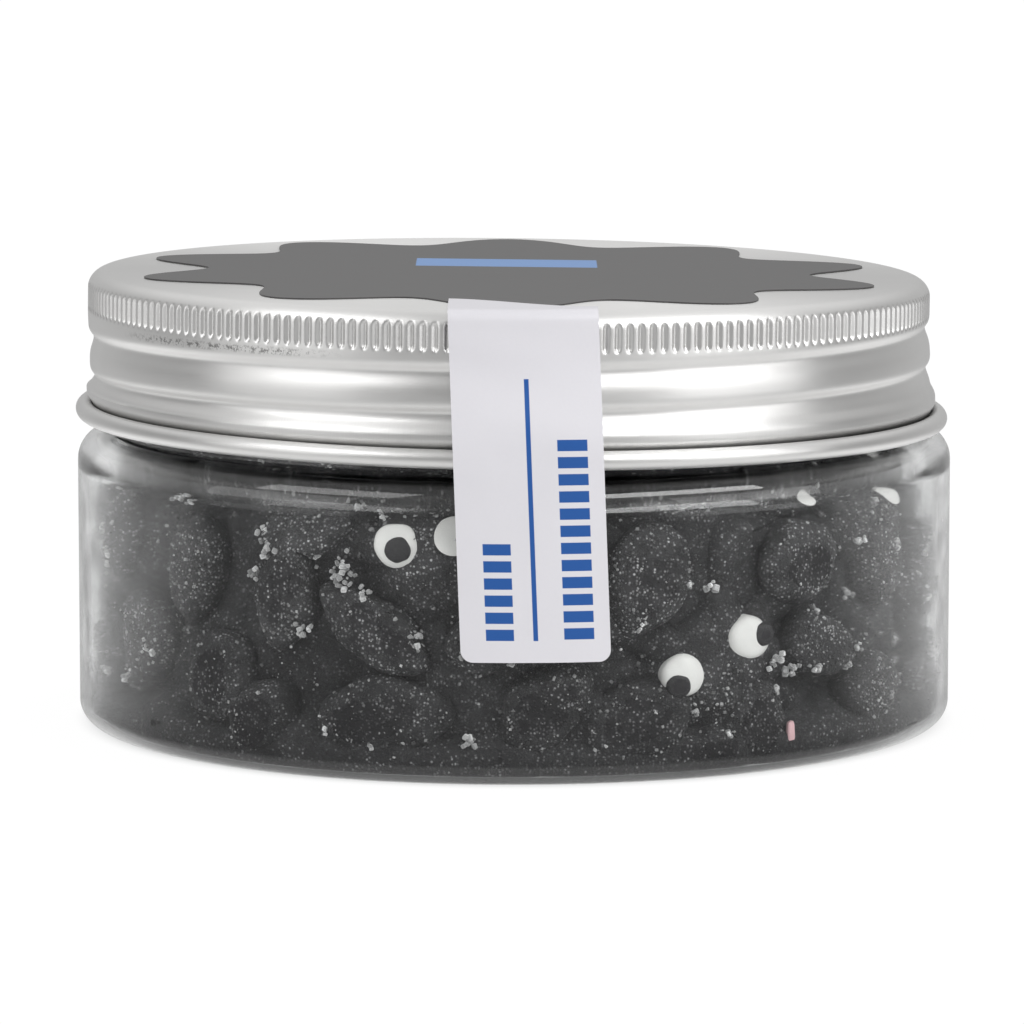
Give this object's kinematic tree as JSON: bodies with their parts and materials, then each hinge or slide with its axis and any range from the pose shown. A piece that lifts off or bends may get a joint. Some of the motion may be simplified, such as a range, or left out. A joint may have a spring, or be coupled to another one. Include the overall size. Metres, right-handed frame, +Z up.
{
  "type": "jar of jelly spider sweets",
  "caption": "Low clear plastic jar of sugar-coated black jelly spiders under a rolled aluminium screw lid, sealed by a white paper strip.",
  "frame": {"origin": "on the table, under the middle of the jar's base", "axes": "+Z up; -Y to the front, where the seal strip is; +X to the right as seen from the front"},
  "size_m": [0.0931, 0.0935, 0.0484],
  "materials": {
    "clear_plastic": "clear, glossy",
    "aluminium": "satin, faintly brushed",
    "grey_label": "satin coated paper",
    "white_paper": "smooth coated paper",
    "sugared_jelly": "matt, coated with sugar grains"
  },
  "bodies": {
    "root": {"jar": "clear_plastic", "lid": "aluminium", "lid_label": "grey_label", "seal_strip": "white_paper", "sweets": "sugared_jelly"}
  },
  "joints": []
}
